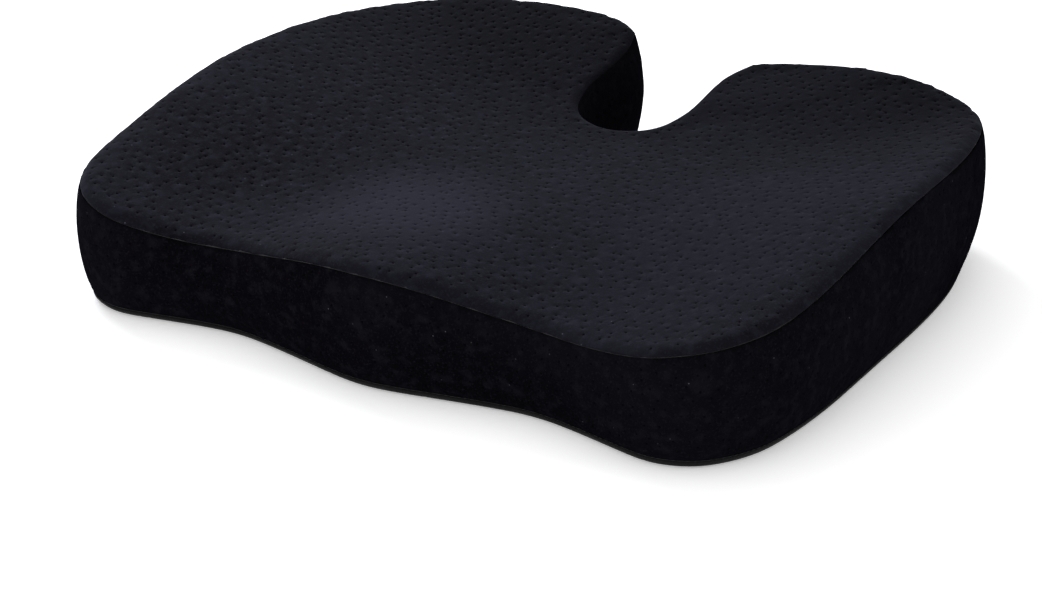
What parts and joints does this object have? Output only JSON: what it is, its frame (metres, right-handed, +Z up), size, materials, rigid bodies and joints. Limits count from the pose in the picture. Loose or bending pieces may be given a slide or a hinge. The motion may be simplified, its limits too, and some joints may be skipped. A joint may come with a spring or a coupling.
{
  "type": "contoured seat cushion",
  "caption": "U-shaped contoured memory-foam seat cushion with a tailbone notch, a velour cover, a grippy underside and a zip.",
  "frame": {"origin": "middle of the overall box, on the plane the cushion rests on", "axes": "+X to the right across the width, -Y towards the front edge, +Y towards the tailbone notch, +Z up"},
  "size_m": [0.4354, 0.3594, 0.0865],
  "materials": {
    "foam": "open-cell memory foam",
    "velour_top": "black velour with a short pile, pierced by fine holes",
    "velour_side": "black velour, pile brushed downwards",
    "bottom_fabric": "black knitted fabric with rubber grip dots",
    "thread": "black polyester thread",
    "zip_tape": "black woven tape",
    "zip_coil": "black nylon coil",
    "zip_metal": "black enamelled zinc casting"
  },
  "bodies": {
    "cushion": {"foam_core": "foam", "top_panel": "velour_top", "side_band": "velour_side", "notch_band": "velour_side", "bottom_panel_front": "bottom_fabric", "bottom_panel_rear": "bottom_fabric", "top_seam_thread": "thread", "bottom_seam_thread": "thread", "zip_seam_thread_front": "thread", "zip_seam_thread_rear": "thread", "zip_tape_front": "zip_tape", "zip_tape_rear": "zip_tape", "zip_end_tab_left": "zip_tape", "zip_end_tab_right": "zip_tape", "zip_coil_front": "zip_coil", "zip_coil_rear": "zip_coil", "zip_bottom_stop": "zip_metal", "zip_top_stop_front": "zip_metal", "zip_top_stop_rear": "zip_metal"},
    "zip_slider": {"zip_slider": "zip_metal"},
    "zip_pull": {"zip_pull": "zip_metal"}
  },
  "joints": [
    {"name": "zip_slide", "type": "slide", "parent": "cushion", "child": "zip_slider", "axis": [-1, 0, 0], "range_m": [0, 0.3]},
    {"name": "pull_hinge", "type": "hinge", "parent": "zip_slider", "child": "zip_pull", "pos_m": [0.15, -0.04, 0.00205], "axis": [0, 1, 0], "range_deg": [-180, 0]}
  ]
}
